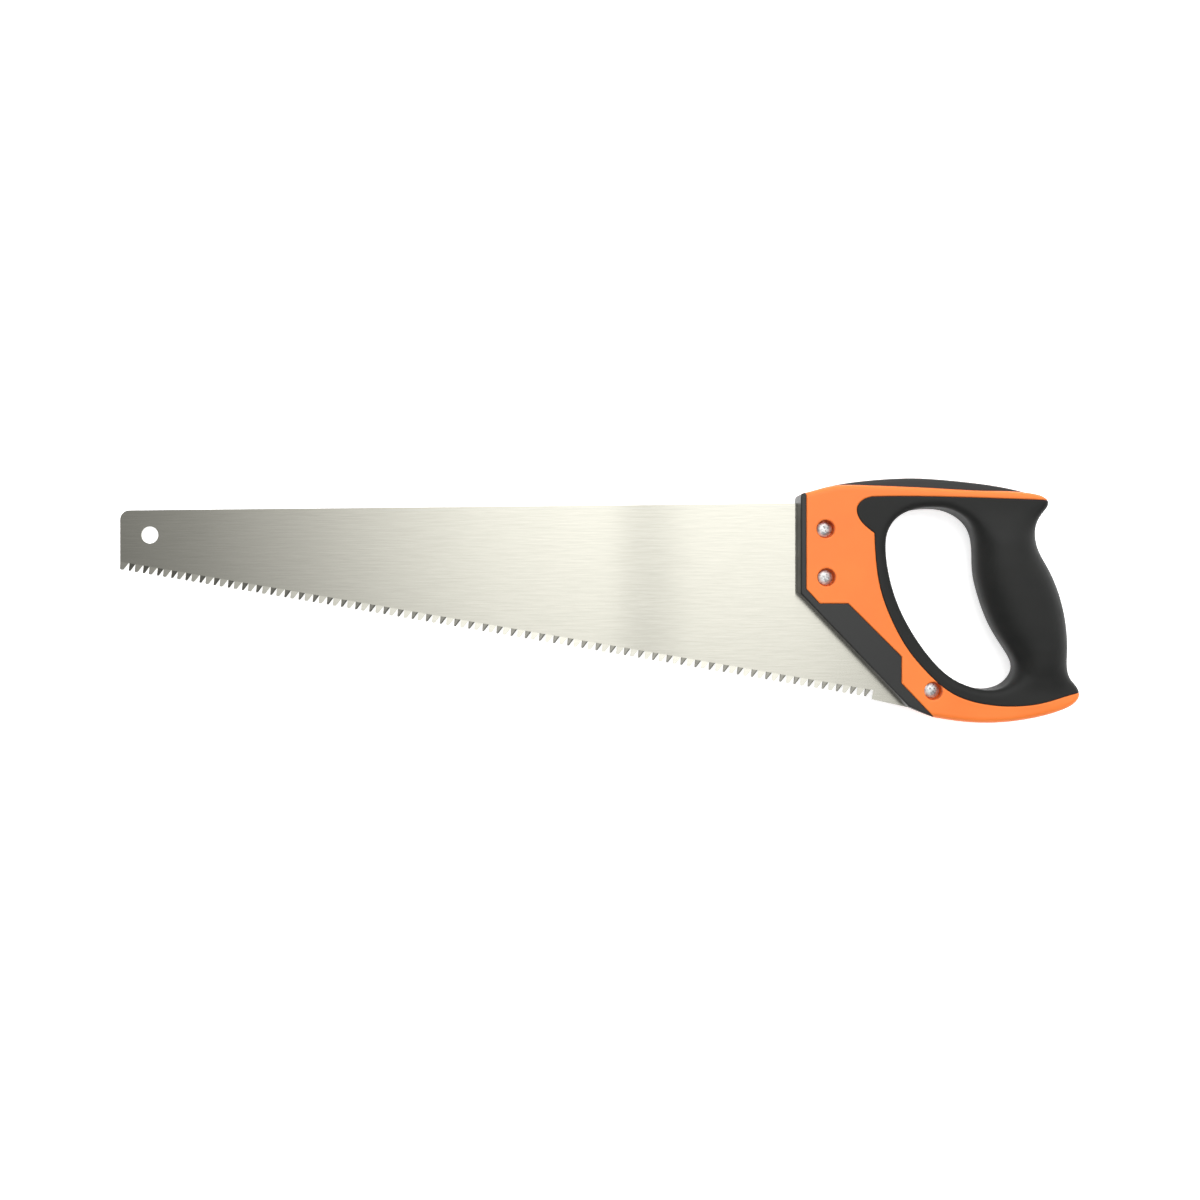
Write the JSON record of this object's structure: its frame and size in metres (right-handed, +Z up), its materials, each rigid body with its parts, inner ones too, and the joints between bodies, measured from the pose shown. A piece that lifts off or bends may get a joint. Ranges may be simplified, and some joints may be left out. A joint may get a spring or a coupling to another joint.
{
  "type": "hand saw",
  "caption": "Hand saw with a tapered toothed steel blade, a hang hole at the toe and a closed D handle of hard plastic with a soft grip.",
  "frame": {"origin": "middle of the outline, on the surface that the saw lies on", "axes": "+X along the blade towards the handle, +Y from the teeth to the blade's back, +Z up from the surface, square to the blade"},
  "size_m": [0.5606, 0.1424, 0.031],
  "materials": {
    "blade_steel": "ground along its length, satin",
    "orange_plastic": "moulded, satin",
    "black_rubber": "moulded soft plastic, fine matt texture",
    "zinc_steel": "bright zinc plate"
  },
  "bodies": {
    "root": {"blade": "blade_steel", "handle_core": "orange_plastic", "grip_overmould": "black_rubber", "front_guard": "black_rubber", "top_ridge": "black_rubber", "screw_front_upper": "zinc_steel", "sleeve_nut_front_upper": "zinc_steel", "screw_front_lower": "zinc_steel", "sleeve_nut_front_lower": "zinc_steel", "screw_rear": "zinc_steel", "sleeve_nut_rear": "zinc_steel"}
  },
  "joints": []
}
